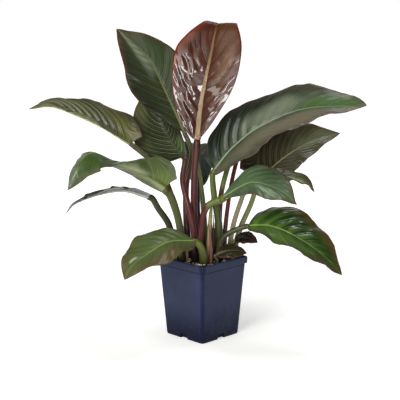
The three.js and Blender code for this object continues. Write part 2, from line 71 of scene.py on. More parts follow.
# Soil
FIT_GAP = 0.3
SOIL_TOP = 138
SOIL_BAND = 8
SOIL_RINGS = 60
SOIL_ROUNDING = 0.45
SOIL_EDGE_DROP = 3
SOIL_ROUGHNESS = 0.9
SOIL_HEAP = 8
HEAP_SPAN = (35, 75)
SOIL_WAVES = [(0.21, 0.17, 0.6, 0.9), (0.43, -0.38, 0, 0.7), (0.05, 0.51, 1.3, 0.6)]
CRUMBS = 900
CHIPS = 1300
FIBRES = 250
CRUMB_MARGIN = 4
CRUMB_LIFT = 0.6

# Stalks
HOLE_DEPTH = 16
STALK_SIDES = 28
STALK_STEPS = 70
BEND_SHARE = 1.2
STALK_LAP = 2
FLARE_LENGTH = 14
JOINT_PLACE = 0.95
JOINT_LENGTH = 0.03

# Blades
BLADE_THICKNESS = 1.1
BLADE_EDGE_THICKNESS = 0.5
RIDGE_HEIGHT = 0.35
VEIN_LEAN = 0.5
VEIN_BEND = 1.8
LOBE_START = 0.07
BASE_START = 0.02
PLEAT_HEIGHT = 1.6
WAVES = [2.6, 3.1]
WAVE_SHIFT = 2.1
DROOP = 0.1
KEEL_SHARE = 1.1
KEEL_FADE = 0.8
KEEL_REACH = 1.9
BLADE_ROWS = 150
FINE_VEINS = 44
RIB_COLUMNS = [0, 0.3, 0.6, 0.85, 1, 1.15, 1.5]
SKIN_COLUMNS = 17

# Strips and crowns
STRIP_ROWS = 70
STRIP_COLUMNS = 21
STRIP_THICKNESS = 0.35
CROWN_SIDES = 40
CROWN_STEPS = 60
CROWN_SCARS = 3

# Studio, in metres. Walls: axis, then how bright the surroundings are from one height or depth to another.
# Lamps: name, place, aim, size, power and, unless white, tint.
WALLS = [("Y", 0.2, 0.8, 0.08, 1.0), ("Z", 0.1, 0.5, 1.0, 0.3)]
FLOOR_HALF = 30
WHITE = (1, 1, 1, 1)
GREY = (0.5, 0.5, 0.5, 1)
LAMPS = [
    ("key", (-0.9, -1.5, 1.3), (0, 0, 0.38), (1.2, 1.2), 26, (1, 0.97, 0.9)),
    ("glint_side", (-0.85, -1.85, 0.6), (0, 0, 0.42), (0.35, 0.6), 12),
    ("glint_front", (-0.15, -2.05, 0.5), (0, 0, 0.42), (0.35, 0.4), 10),
    ("top", (0.45, 0.35, 2.2), (0.05, 0, 0.3), (1, 0.8), 24),
]
CAMERA_PLACE = (-0.0044, -1.8, 0.582)
CAMERA_TILT = 79.6
LENS = 90.63
SENSOR = 36

# Thin curled strips, sheaths and bases of old and young leaves: half width, path from the soil's surface,
# light tone, dark tone and the one at the soil, seed, and the slot of those that take a solid's place.
STRIPS = {
    "sheath_brown": (
        5, [[15, -36], [15, -33, 172], [12, -30, 212]], ("7a5042", "4e2c24", "241510"), 3, "sheath_brown"),
    "sheath_straw": (
        5, [[10, -10], [12, -12, 185], [14, -14, 236]], ("c9b088", "96764e", "5a4228"), 5, "sheath_straw"),
    # The old bases are dead leaf bases coloured near black as painted shade in the crowded middle between the
    # stalks.
    "old_base": (3.6, [[19.5, -7.5], [20.5, -8, 180], [20, -9, 226]], ("3a3022", "221a12", "0e0a07"), 12),
    "old_base_low": (4.5, [[25, 4.3], [24.5, 3.5, 185], [24, 2, 230]], ("3e3424", "241c14", "0e0a07"), 14),
    "old_base_right": (5, [[41, 4], [42, 4, 165], [44, 5, 202]], ("5c5240", "342c20", "14100c"), 17),
    "old_base_left": (5.5, [[-7, 14], [-7, 15, 200], [-8, 18, 300]], ("34181a", "1e0e0f", "0a0605"), 23),
    "young_base": (
        6.5, [[10.5, -6.3], [13, -7.5, 195], [17.5, -15, 268]], ("96a45e", "52642a", "1e2210"), 19),
    "sheath_left": (
        4, [[-28, -8], [-29, -11, 160], [-31, -14, 182]], ("b0946c", "846444", "4c3826"), 8, "sheath_straw"),
}

# Stems: place, radius, height and seed.
CROWNS = {
    "crown_left": ((-40, 1), 5, 14, 2),
    "crown_middle": ((14, 4), 8.5, 78, 4),
    "crown_right": ((41, 17), 4.5, 12, 6),
}

# Shape of a leaf: radii of the stalk at foot, middle and top, and its points from the soil's surface. midrib:
# points from the blade's base to its tip. face: where the upper side looks, at even steps. half: half width.
# fold: degrees by which the halves are raised, at base and tip. lobe: share of the length by which the base
# reaches back. taper, point: how pointed base and tip are, low for round. Two numbers in place of one are for
# the halves left and right of the midrib.
COMMON_SHAPE = dict(fold=[12, 12], lobe=0.03, widest=0.45, taper=0.62, point=0.85, wave=3)


def shape(radii, stalk, **own):
    return SimpleNamespace(radii=radii, stalk=stalk, **{**COMMON_SHAPE, **own})


# Finish of a leaf. pleat, lean, pucker: relief between the side veins, its slant and creases. band: how pale
# the bands of painted light along the pleats' crests are. stripe_end: how much these bands and the pleats
# grow
# towards the tip. Patches: place along and across the blade, length, breadth and colour; some are the leaf's
# own colour, some painted sheen or painted shade. stalk: colours at its foot, middle and top.
COMMON_FINISH = dict(
    pleat=1, lean=[0.16, 0.12], pucker=0.35, pucker_span=[0, 0.1], crumple=1, frill=1, veins=9,
    rib_width=[2.2, 0.5], rib_height=0.45, rib_end=0.35, shine=0.15, coat=0.2, coat_rough=0.14, rough=0.36,
    gloss_span=[2, 3], gloss_end=0.15, gloss_side=[1, 1], band=0.35, stripe_end=1, vein_share=0.35,
    fine=0.14, tinge="5a3426", tinge_width=8, tinge_share=0.3, edge="4a2a22", under="7a8462",
    under_shade="5c6844", under_rib="98a070", spots=[], groove=0.12, groove_turn=1.2, streak_share=0.5,
    joint="3a2a20", top_span=[0.5, 0.95])
RED = dict(stalk=("4a1a1c", "6a2426", "66302c"), streak="743432", fleck="80503e", stalk_slot="stalk_wine")
OLIVE = dict(stalk=("4a4628", "525e30", "586838"), streak="5c3a30", fleck="808a56", stalk_slot="stalk_olive")
LEAF_GREEN = dict(
    stalk=("5c6830", "5c7434", "64803c"), streak="46582a", fleck="8a985c", stalk_slot="stalk_green")
MUDDY = dict(
    stalk=("564636", "7a7058", "78745a"), streak="6e4a3c", fleck="948864", stalk_slot="stalk_brown_green")
DEEP = dict(
    slot="blade_deep_green", skin="2e3622", shade="161c10", pale="434b30", vein="5c6448", rib="5c6440")
OLIVE_SKIN = dict(
    slot="blade_olive", skin="3e4428", shade="26280f", pale="666c42", vein="7c8460", rib="7c8658")
BROWN_SKIN = dict(
    slot="blade_brown_green", skin="464830", shade="2c261a", pale="646448", vein="7a765a", rib="80805c")


def finish(*families, **own):
    """The common finish, changed by families of colours and by the leaf's own facts."""
    facts = dict(COMMON_FINISH)
    for family in (*families, own):
        facts.update(family)
    return SimpleNamespace(**facts)


LEAVES = {
    "leaf_newest": (shape([7.2, 6, 6.2], [[-8, 0], [-14, -4, 210], [-15, -8, 280]],
        midrib=[[-10, -8, 361], [-2, -2, 431], [15, 0, 515], [26, 14, 565], [38, 48, 560]],
        face=[[-0.2, -1, 0.1], [-0.1, -0.8, 0.6], [-0.1, -0.5, 1]], half=[66, 59], lobe=0, widest=0.6,
        taper=[0.62, 0.8], point=[1.6, 0.68], wave=2), finish(
        RED, slot="blade_red_brown", skin="3a180a", shade="270f08", pale="4a2416", vein="744c34",
        rib="7c6644", rib_width=[5, 1.4], rib_height=0.5, pleat=[1.2, 0.5], lean=0.24, crumple=0.75,
        pucker=[4, 1.8], pucker_span=[0.74, 0.5], tinge="54241a", tinge_width=14, tinge_share=0.5,
        edge="5a2018", under="8a5644", under_shade="703e30", under_rib="a07c54", rough=0.32, coat=0.9,
        coat_rough=0.08, gloss_span=[0.52, 0.68], gloss_end=0.06, rib_end=0.15, joint="2a1814",
        stalk=("1c0c0a", "3c1816", "42221c"),
        # The pale patch 644c3e on the right half is a painted sheen.
        spots=[(0.2, -0.1, 0.34, 0.6, "30140c"), (0.5, -1, 0.7, 0.2, "602614"),
               (0.6, 0.6, 0.6, 0.5, "462c1a"), (0.4, 0.6, 0.08, 0.3, "644c3e"),
               (0.97, 0.3, 0.12, 1.2, "5a463a")])),
    "leaf_tall_left": (shape([7, 5.8, 4.2], [[-25, 10], [-29, 20, 200], [-30, 40, 270], [-20, 57, 332]],
        midrib=[[-34, 64, 369], [-64, 90, 431], [-100, 106, 500], [-148, 120, 547], [-162, 126, 557]],
        face=[[0.1, -0.9, 0.35]], half=[61, 54], fold=[[10, 14], [10, 14]], lobe=0.04, widest=0.5,
        taper=[1.3, 0.85], point=[0.85, 1.15], wave=4), finish(
        RED, DEEP, skin="1e2411", shade="10150a", pale="3c432a", veins=13, pleat=[0.9, 0.5],
        lean=[0.18, 0.12], pucker=[0.3, 0.2], rib_width=[2.6, 0.7], vein_share=0.4, fine=0.25, band=0.7,
        coat=0.1, shine=0.05, stalk=("30100f", "522022", "3a4822"),
        # The grey-green patch 6a7260 beside the upper midrib is a painted sheen.
        spots=[(0.12, -0.4, 0.34, 0.8, "14170f"), (0.55, 0.5, 0.4, 0.5, "2a3722"),
               (0.74, -0.2, 0.3, 0.26, "6a7260")])),
    "leaf_broad_behind": (shape([6, 5.5, 5], [[-13, -15], [-17, -18, 205], [-29, -13, 257], [-36, -2, 290]],
        midrib=[[-35, 14, 329], [-58, 58, 352], [-78, 106, 387], [-88, 138, 426], [-98, 160, 459]],
        face=[[-0.1, -0.8, 0.5]], half=[64, 25], fold=[[10, 6], 12], lobe=0.05, widest=0.42), finish(
        RED, DEEP, skin="12170a", pale="333a22", rib="3e4830", vein="8a9474", shade="080b04", veins=16,
        frill=1.6, pleat=[1.4, 0.8], lean=[0.2, 0.1], band=1, vein_share=0.9, fine=0.15, coat=0.08,
        shine=0.03, stalk=("2c0e10", "481a1e", "422a22"),
        # The bright green patch 34502a at the base's right is the leaf's own green lightened by a painted
        # sheen.
        spots=[(0.4, -0.1, 0.5, 0.6, "0c100a"), (0.4, -0.8, 0.5, 0.3, "42442a"),
               (0.08, 0.5, 0.12, 0.4, "34502a")])),
    "leaf_arching_left": (shape([6, 5, 4.5], [[-40, 14], [-44, 12, 207], [-74, 14, 298]],
        midrib=[[-130, 22, 353], [-180, 50, 379], [-231, 72, 399], [-283, 88, 414], [-327, 96, 408]],
        face=[[0, -0.15, 1]], half=[44, 64], fold=[[34, 22], [30, 22]], lobe=0.09, widest=0.36,
        point=[0.85, 0.75]), finish(
        OLIVE, OLIVE_SKIN, skin="2a2d18", shade="16180b", pale="74785a", veins=13, frill=1.6, pleat=1.8,
        lean=0.32, band=0.4, stripe_end=3.6, coat=0.06, gloss_span=[0.22, 0.4], gloss_end=5,
        stalk=("34341f", "46482c", "4a4a32"), vein_share=0.8, fine=0.3, under="54582e",
        under_shade="36361c",
        spots=[(0.04, 0, 0.18, 1.6, "424208"), (0.02, 0.9, 0.1, 0.3, "46300e"),
               (0.2, -0.3, 0.07, 0.6, "2a2210"), (0.2, 0.3, 0.07, 0.6, "2e2814")])),
    "leaf_twisted_left": (shape([8, 6.5, 7.5], [[-38, -14], [-40, -18, 197], [-48, -24, 238]],
        midrib=[[-67, -30, 279], [-90, -36, 297], [-118, -42, 312], [-158, -54, 333], [-192, -66, 347],
                [-218, -76, 325], [-234, -84, 284]], face=[[0.2, 1, 0.7], [0, 0.1, 1], [-0.4, -0.5, 0.8]],
        half=[62, 50], fold=[[38, 30], [-52, -20]], lobe=0.11, widest=0.4, wave=2), finish(
        LEAF_GREEN, slot="blade_deep_green", frill=1.8, skin="2e401b", shade="1e2b13", pale="46602a",
        vein="647c48", rib="7a9452", under="525c40", under_shade="3a442b", under_rib="7c8460", pucker=0.8,
        coat=0.3, stalk=("58622e", "3e4420", "444826"), streak="46342a", edge="5e6a34",
        # The pale patch 8e9674 on the twisted flap is a painted gloss.
        spots=[(0.03, 0.3, 0.13, 0.9, "5a6c18"), (0.3, 0.2, 0.14, 0.6, "8e9674"),
               (0.1, 0.9, 0.08, 0.14, "5c4226"), (0.17, -0.5, 0.06, 0.3, "3c4a1e"),
               (0.95, 0, 0.2, 1, "3a4a24")])),
    "leaf_edge_on_left": (shape([6.5, 6, 5.5], [[-56, -2], [-60, -10, 205], [-80, -18, 240]],
        midrib=[[-96, -24, 264], [-138, -44, 279], [-180, -60, 275], [-222, -74, 260], [-240, -80, 240]],
        face=[[0, 0.18, 1]], half=42, fold=[10, 10], widest=0.42, taper=0.7, wave=2), finish(
        OLIVE, DEEP, coat=0.03, rough=0.5, frill=2, under="868886", under_shade="50524e",
        under_rib="a0a09a", stalk=("16180f", "1e2211", "2c321a"), spots=[(0.3, 0.9, 0.1, 0.3, "2a3024")])),
    "leaf_front_left": (shape([8, 7.5, 5], [[2, -40], [2, -43, 154], [-3, -48, 175]],
        midrib=[[-16, -52, 188], [-61, -86, 193], [-101, -120, 175], [-120, -138, 163], [-132, -150, 142]],
        face=[[-0.2, -0.5, 0.8], [-0.3, -0.6, 0.8]], half=[48, 43], fold=[[8, 14], [8, 14]], widest=0.5,
        wave=4), finish(
        LEAF_GREEN, slot="blade_brown_green", skin="44542a", shade="3c4426", pale="546634", vein="6c7c4e",
        rib="7e9250", fine=0.3, tinge="543a26", tinge_width=12, tinge_share=0.5, coat=0.12, coat_rough=0.2,
        pucker=0.2, stalk=("2a1a10", "484a20", "566226"),
        # The small pale patch a0a28c is a painted highlight.
        spots=[(0.3, -0.7, 0.4, 0.35, "4c3f26"), (0.72, 0.35, 0.05, 0.16, "a0a28c")])),
    "leaf_front_right": (shape([6, 5, 4.5], [[28, -22], [36, -30, 187]],
        midrib=[[82, -40, 213], [120, -58, 216], [162, -76, 202], [207, -94, 174], [242, -106, 139]],
        face=[[0.2, -0.5, 0.8], [0.4, -0.5, 0.8]], half=[62, 44], lobe=0.04, widest=0.4, taper=[0.42, 0.7],
        point=[0.95, 0.75], wave=4), finish(
        LEAF_GREEN, slot="blade_olive", gloss_side=[1, 0.1], frill=1.6, skin="283e18", shade="101c0a",
        pale="54782c", vein="648440", rib="7e9a48", band=0.6, stripe_end=0.6, pleat=[2.4, 0.3],
        lean=[0.14, 0.1], pucker=[1.4, 0.15], rough=0.28, coat=0.6, gloss_span=[0.6, 0.85], gloss_end=0.25,
        coat_rough=0.1, tinge="4e3a24", tinge_width=14, tinge_share=0.6,
        stalk=("1a130a", "2c2812", "3a3e1c"),
        # The dark patch 22361a in the middle of the blade is painted shade.
        spots=[(0.25, 0.5, 0.4, 0.5, "466022"), (0.6, 0.1, 0.3, 0.4, "22361a"),
               (0.5, -1, 0.6, 0.34, "443618")])),
    "leaf_long_right": (shape([7.5, 6.5, 5], [[30, -5], [30, -8, 205], [21, -7, 262]],
        midrib=[[21, 10, 305], [55, -2, 349], [105, -16, 389], [182, -32, 421], [286, -46, 427]],
        face=[[0, -0.6, 0.8]], half=[64, 56], fold=[15, 15], lobe=0.08, widest=0.42, taper=[0.45, 1],
        point=[0.6, 0.9], wave=5), finish(
        OLIVE, slot="blade_deep_green", skin="2e3521", shade="202a20", pale="4c5842", vein="6c7c68",
        rib="7c8a70", rib_width=[2.4, 0.6], veins=14, pleat=[1.9, 0.7], stripe_end=0.3, frill=2.4,
        fine=0.08, lean=[0.1, 0.2], pucker=[0.6, 0.4], coat=0.5, gloss_span=[0.4, 0.8], tinge="4e4038",
        tinge_width=18, tinge_share=0.4, band=0.5, stalk=("181a0c", "3a4020", "58622e"), streak="1c1e10",
        streak_share=0.8,
        # The grey-blue patch 606656 along the midrib is a painted sheen.
        spots=[(0.12, -0.6, 0.34, 0.7, "0a100c"), (0.45, -0.3, 0.2, 0.4, "606656"),
               (0.4, 0.6, 0.5, 0.5, "5c5746"), (0.88, -0.2, 0.3, 0.9, "3a5428")])),
    "leaf_back_right": (shape([5.5, 5, 4.5], [[54, 10], [70, 18, 195], [90, 28, 240]],
        midrib=[[106, 38, 280], [135, 54, 308], [167, 68, 330], [212, 84, 352], [261, 96, 363]],
        face=[[0, -0.8, 0.6]], half=[66, 36], fold=[14, 14], lobe=0.11, widest=0.36, taper=[0.32, 0.62],
        point=[1.1, 0.85], wave=4), finish(
        OLIVE, BROWN_SKIN, frill=2.4, veins=14, stalk=("4c4c30", "70764e", "70784c"), pleat=1.2, lean=0.24,
        band=0.45, vein_share=0.4, spots=[(0.16, -0.5, 0.36, 0.9, "1c130a"), (0.78, 0, 0.3, 1, "565c44")])),
    "leaf_middle_right": (shape([5.5, 5, 6.6], [[-2, -25], [-3, -27, 190], [8, -30, 245]],
        midrib=[[36, -36, 264], [79, -62, 293], [108, -80, 294], [141, -100, 282], [162, -112, 264]],
        face=[[0.1, -0.6, 0.8]], half=[42, 40], lobe=0, widest=0.56, taper=0.8, point=[1.5, 0.9]), finish(
        RED, slot="blade_deep_green", skin="45583a", shade="33442c", pale="5a6c4c", vein="6c8860",
        rib="7e966c", rough=0.34, coat=0.25, coat_rough=0.28, pucker=[0.5, 0.7], lean=0.2,
        # The pale patch 74886e is a painted gloss.
        stalk=("240a0b", "461616", "525e24"), top_span=[0.74, 0.8], spots=[(0.5, 0.4, 0.12, 0.3, "74886e")])),
    "leaf_curled_right": (shape([5, 4.5, 4], [[47, -3], [55, -4, 200], [68, -4, 245]],
        midrib=[[83, -2, 276], [123, 6, 290], [160, 10, 294], [190, 12, 284], [205, 12, 264]],
        face=[[0, -0.2, 1], [0.3, -0.4, 0.8]], half=[24, 26], lobe=0.04), finish(
        MUDDY, OLIVE_SKIN, pucker=1.2, under="94987a", lean=0.2, spots=[(0.5, 0.6, 0.1, 0.4, "8c9270")])),
    "leaf_drooping_back": (shape([6, 5, 4.5], [[6, 28], [2, 40, 230], [-6, 50, 290]],
        midrib=[[-12, 60, 325], [-9, 96, 341], [-6, 128, 320], [-5, 150, 284], [-5, 160, 248]],
        face=[[0, -0.3, 1], [0, 0.9, 0.4]], half=[34, 30], lobe=0.05, widest=0.42, point=0.45,
        wave=4), finish(
        # Its underside is coloured near black: painted shade, as it hangs behind the other leaves.
        OLIVE, DEEP, under="202c1c", under_shade="141c12", under_rib="34442c")),
    "leaf_behind_upper": (shape([6, 5, 4.5], [[30, 12], [31, 16, 215], [36, 22, 268]],
        midrib=[[58, 52, 335], [83, 84, 365], [115, 112, 384], [163, 138, 393], [216, 156, 383]],
        face=[[-0.2, -0.3, 1], [0.1, 0.2, 1]], half=46, taper=0.7, wave=4), finish(
        LEAF_GREEN, DEEP, stalk=("2a1012", "4a1a1c", "546030"), top_span=[0.6, 0.66], streak="6a2c26",
        streak_share=0.7)),
    "leaf_behind_lower": (shape([5, 4, 4], [[38, 30], [46, 44, 220], [56, 60, 280]],
        midrib=[[70, 84, 322], [102, 124, 342], [140, 160, 354], [180, 190, 352], [216, 212, 332]],
        face=[[0, 0, 1], [0.2, 0.3, 1]], half=42, taper=0.7), finish(
        RED, OLIVE_SKIN)),
    "leaf_small_dark": (shape([3, 2.6, 2.4], [[54, -16], [55, -18, 176]],
        midrib=[[57, -38, 186], [68, -44, 191], [78, -49, 192], [88, -53, 190], [98, -56, 185]],
        face=[[0.1, -0.6, 0.8]], half=[16, 15], fold=[8, 8], lobe=0, wave=1), finish(
        # Its colours are near black: a dark brown leaf darkened further as painted shade under the front
        # right leaf.
        OLIVE, slot="blade_brown_green", skin="0f0a06", shade="080503", pale="1a130c", vein="241c12",
        rib="30281c", under="140e08", under_shade="0c0805", under_rib="2a2216", coat=0.1)),
    "leaf_small_olive": (shape([3, 2.6, 2.4], [[28, -40], [26, -42, 150]],
        midrib=[[24, -44, 160], [38, -45, 166], [53, -42, 168], [66, -38, 166], [80, -34, 161]],
        face=[[0, -0.6, 0.8]], half=[16, 17], fold=[6, 6], lobe=0, widest=0.5, taper=0.5, wave=1), finish(
        MUDDY, slot="blade_brown_green", skin="24230f", shade="16130a", pale="36351c", vein="4c4a34",
        rib="5c5c3c", stalk=("2a2018", "3a3424", "44402c"), streak="2c2018", fleck="4c4630")),
}


# Numbers and vectors
def mix(low, high, share):
    return low + (high - low) * share


def smooth(low, high, value):
    share = np.clip((value - low) / (high - low), 0, 1)
    return share * share * (3 - 2 * share)


def unit(vectors):
    return vectors / np.linalg.norm(vectors, axis=-1, keepdims=True)


def spun(x, y, angle):
    return x * cos(angle) - y * sin(angle), x * sin(angle) + y * cos(angle)


def circle(sides):
    return np.linspace(0, 2 * pi, sides, endpoint=False)


def interpolate(places, steps, table):
    """Rows of a table, which stand at the given steps, mixed for each place."""
    return np.stack([np.interp(places, steps, column) for column in table.T], -1)


def of_half(numbers, half):
    """Number for the left (0) or right (1) half of a blade; a single one serves both."""
    return np.broadcast_to(numbers, 2)[half]


def lattice_noise(x, y, seed):
    """Smooth noise from -1 to 1 with one feature a unit."""
    draws = np.random.default_rng(seed).uniform(-1, 1, (NOISE_SIZE, NOISE_SIZE))
    column, row = np.floor(x).astype(int), np.floor(y).astype(int)
    right, up = smooth(0, 1, x - column), smooth(0, 1, y - row)

    def corner(i, j):
        return draws[(row + j) % NOISE_SIZE, (column + i) % NOISE_SIZE]

    return mix(mix(corner(0, 0), corner(1, 0), right), mix(corner(0, 1), corner(1, 1), right), up)


class Path:
    """Smooth curve through points, read at shares of its length."""

    STEPS = 60

    def __init__(self, points, spread=0):
        points = np.array(points, float)
        knots = np.vstack([2 * points[0] - points[1], points, 2 * points[-1] - points[-2]])
        share = np.linspace(0, 1, self.STEPS, endpoint=False)[:, None]
        runs = []
        for p0, p1, p2, p3 in zip(knots, knots[1:], knots[2:], knots[3:]):
            a, b, c = (np.linalg.norm(q - p) ** spread for p, q in ((p0, p1), (p1, p2), (p2, p3)))
            leave = b * ((p1 - p0) / a - (p2 - p0) / (a + b) + (p2 - p1) / b)
            arrive = b * ((p2 - p1) / b - (p3 - p1) / (b + c) + (p3 - p2) / c)
            square = 3 * (p2 - p1) - 2 * leave - arrive
            cube = 2 * (p1 - p2) + leave + arrive
            runs.append(p1 + leave * share + square * share**2 + cube * share**3)
        self.points = np.vstack([*runs, points[-1:]])
        steps = np.linalg.norm(np.diff(self.points, axis=0), axis=1)
        self.lengths = np.concatenate([[0], np.cumsum(steps)])
        self.length = self.lengths[-1]
        self.tangents = unit(np.gradient(self.points, self.lengths, axis=0))

    def at(self, share):
        return interpolate(share * self.length, self.lengths, self.points)

    def tangent(self, share):
        return unit(interpolate(share * self.length, self.lengths, self.tangents))

    def frames(self, shares):
        """Share, place and two directions across the path, which turn as little as possible."""
        side = np.array([1.0, 0, 0])
        for share in shares:
            tangent = self.tangent(share)
            side = unit(side - tangent * side.dot(tangent))
            yield share, self.at(share), side, np.cross(tangent, side)


def rooted_path(points, *ends):
    """Path from down in the soil through the points to the ends."""
    surface, following = np.array([*points[0], SOIL_TOP], float), np.array(points[1], float)
    foot = surface + unit(surface - following) * HOLE_DEPTH
    return Path([foot, surface, *points[1:], *ends], spread=0.5)


# Meshes
def add_object(name, data):
    made = bpy.data.objects.new(name, data)
    bpy.context.scene.collection.objects.link(made)
    return made


def add_mesh(name, points, faces):
    """Object made of points in millimetres."""
    mesh = bpy.data.meshes.new(name)
    mesh.from_pydata((np.asarray(points) * MM).reshape(-1, 3).tolist(), [], faces)
    return add_object(name, mesh)


def add_piece(name, points, faces, node, slot, paint, **facts):
    """Piece of the part; facts are numbers a point, kept for its material."""
    piece = add_mesh(name, points, faces)
    mesh = piece.data
    for fact, numbers in facts.items():
        layer = mesh.attributes.new(fact, "FLOAT", "POINT")
        numbers = np.broadcast_to(numbers, np.shape(points)[:-1])
        layer.data.foreach_set("value", numbers.astype(np.float32).ravel())
    mesh.polygons.foreach_set("use_smooth", [True] * len(mesh.polygons))
    mesh.materials.append(paint)
    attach(piece, "root")
    if node:
        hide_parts(node)
    return piece


def weld(piece):
    """Joins points that coincide and turns the faces outwards."""
    work = bmesh.new()
    work.from_mesh(piece.data)
    bmesh.ops.remove_doubles(work, verts=work.verts, dist=WELD_DISTANCE)
    bmesh.ops.recalc_face_normals(work, faces=work.faces)
    work.to_mesh(piece.data)
    work.free()


def grid_faces(rows, columns, start=0, closed=False):
    """Faces of a grid of points listed row by row; a closed one joins its last column to its first."""
    faces = []
    for row in range(rows - 1):
        for column in range(columns if closed else columns - 1):
            a = start + row * columns + column
            b = start + row * columns + (column + 1) % columns
            faces.append((a, b, b + columns, a + columns))
    return faces


def tube_faces(rings, sides):
    """Faces of a closed tube and its end caps."""
    last = (rings - 1) * sides
    caps = [tuple(reversed(range(sides))), tuple(range(last, last + sides))]
    return grid_faces(rings, sides, closed=True) + caps


def sheet_faces(rows, columns):
    """Faces of a closed sheet: a grid, the same grid under it, and walls around both."""
    under = rows * columns
    faces = grid_faces(rows, columns)
    faces += [tuple(reversed(face)) for face in grid_faces(rows, columns, under)]
    rim = [(0, c) for c in range(columns)] + [(r, columns - 1) for r in range(1, rows)]
    rim += [(rows - 1, c) for c in range(columns - 2, -1, -1)] + [(r, 0) for r in range(rows - 2, 0, -1)]
    for (r0, c0), (r1, c1) in zip(rim, rim[1:] + rim[:1]):
        a, b = r0 * columns + c0, r1 * columns + c1
        faces.append((b, a, a + under, b + under))
    return faces


def add_sheet(name, top, bottom, *rest, **facts):
    """Closed piece between an upper and a lower grid of points."""
    weld(add_piece(name, np.stack([top, bottom]), sheet_faces(*top.shape[:2]), *rest, **facts))


def grid_normals(points):
    along, across = np.gradient(points, axis=0), np.gradient(points, axis=1)
    normals = np.cross(across, along)
    return normals / np.maximum(np.linalg.norm(normals, axis=-1, keepdims=True), 1e-9)


# Materials
def colour(code):
    """Linear colour of a code such as 3a5a2c."""
    parts = [int(code[i : i + 2], 16) / 255 for i in (0, 2, 4)]
    linear = [c / 12.92 if c <= 0.04045 else ((c + 0.055) / 1.055) ** 2.4 for c in parts]
    return (*linear, 1)


def maths(operation, swapped=False):
    """Method that works a value out with one maths node."""

    def work(value, *others):
        return value.math(operation, *((*others, value) if swapped else (value, *others)))

    return work


class Value:
    """A number or colour that varies over a surface and takes part in Python sums."""

    __add__ = __radd__ = maths("ADD")
    __sub__ = maths("SUBTRACT")
    __rsub__ = maths("SUBTRACT", swapped=True)
    __mul__ = __rmul__ = maths("MULTIPLY")
    __truediv__ = maths("DIVIDE")
    __pow__ = maths("POWER")
    __abs__ = maths("ABSOLUTE")
    fraction = maths("FRACT")

    def __init__(self, paint, socket):
        self.paint = paint
        self.socket = socket

    def math(self, operation, *values):
        return self.paint.node("ShaderNodeMath", {"operation": operation}, dict(enumerate(values)))

    def rise(self, low, high, start=0, end=1):
        """Smooth step from start to end while this goes from low to high."""
        settings = {"interpolation_type": "SMOOTHSTEP"}
        sockets = {"Value": self, "From Min": low, "From Max": high, "To Min": start, "To Max": end}
        return self.paint.node("ShaderNodeMapRange", settings, sockets)

    def fall(self, low, high):
        return self.rise(low, high, 1, 0)


class Paint:
    """A material or world under construction: constants go on its shader, varying values through feed."""

    def __init__(self, name, world=False, **constants):
        self.owner = (bpy.data.worlds if world else bpy.data.materials).new(name)
        self.owner.use_nodes = True
        self.tree = self.owner.node_tree
        self.shader = self.tree.nodes["Background" if world else "Principled BSDF"]
        for socket, number in constants.items():
            self.shader.inputs[socket.replace("_", " ")].default_value = number

    def node(self, kind, settings=None, sockets=None, output=0):
        """Node whose sockets are linked to values or set to numbers or colours."""
        made = self.tree.nodes.new(kind)
        for setting, choice in (settings or {}).items():
            setattr(made, setting, choice)
        for socket, value in (sockets or {}).items():
            if isinstance(value, Value):
                self.tree.links.new(value.socket, made.inputs[socket])
            else:
                made.inputs[socket].default_value = colour(value) if isinstance(value, str) else value
        return Value(self, made.outputs[output])

    def fact(self, name):
        """Number a point that the mesh holds."""
        return self.node("ShaderNodeAttribute", {"attribute_name": name}, output="Fac")

    def place(self):
        return self.node("ShaderNodeTexCoord", output="Object")

    def part(self, vector, axis):
        return self.node("ShaderNodeSeparateXYZ", sockets={"Vector": vector}, output=axis)

    def vector(self, x, y, z=0.0):
        return self.node("ShaderNodeCombineXYZ", sockets={"X": x, "Y": y, "Z": z})

    def noise(self, scale, detail=3, where=None):
        sockets = {"Vector": where or self.place(), "Scale": scale, "Detail": detail}
        return self.node("ShaderNodeTexNoise", sockets=sockets, output="Fac")

    def blend(self, low, high, share, kind="MIX"):
        settings = {"data_type": "RGBA", "blend_type": kind, "clamp_factor": True}
        return self.node("ShaderNodeMix", settings, {"Factor": share, 6: low, 7: high}, output=2)

    def layers(self, skin, *layers):
        """Colours laid over a skin one after another, each by its share."""
        for tone, share in layers:
            skin = self.blend(skin, tone, share)
        return skin

    def feed(self, **values):
        for socket, value in values.items():
            self.tree.links.new(value.socket, self.shader.inputs[socket.replace("_", " ")])
        return self.owner

    def done(self, skin, rough, relief, depth, **more):
        """Material with its skin, roughness and a relief of the given depth in metres."""
        normal = self.node("ShaderNodeBump", sockets={"Height": relief, "Distance": depth})
        return self.feed(Base_Color=skin, Roughness=rough, Normal=normal, **more)


# Blades
def blade_frame(leaf, path, share):
    """Origin, side and up of the blade at shares of its midrib; below 0 it runs straight back."""
    along = np.clip(share, 0, 1)
    tangent = path.tangent(along)
    origin = path.at(along) + tangent * (np.minimum(share, 0) * path.length)[..., None]
    face = interpolate(along, np.linspace(0, 1, len(leaf.face)), np.array(leaf.face, float))
    side = unit(np.cross(tangent, face))
    return origin, side, np.cross(side, tangent)


def outline(leaf, share, half):
    """Half width as a share of the widest, from the lobes' back (0) to the tip (1)."""
    before = np.sin(pi / 2 * np.clip(share / leaf.widest, 0, 1)) ** of_half(leaf.taper, half)
    past = np.clip((share - leaf.widest) / (1 - leaf.widest), 0, 1)
    after = np.cos(pi / 2 * past) ** of_half(leaf.point, half)
    return np.where(share < leaf.widest, before, after)


def vein_end(leaf, s):
    """Where along the outline the lateral vein that leaves the midrib at s reaches the edge."""
    start = LOBE_START if leaf.lobe > 0 else BASE_START
    return mix(start, 1, s + VEIN_LEAN * s * (1 - s))


def vein_lane(look, s, t):
    """Like s, but the same along the finer veins, which lean more towards the tip."""
    return s - of_half(look.lean, (t >= 0).astype(int)) * np.abs(t) * smooth(0, 0.15, s)


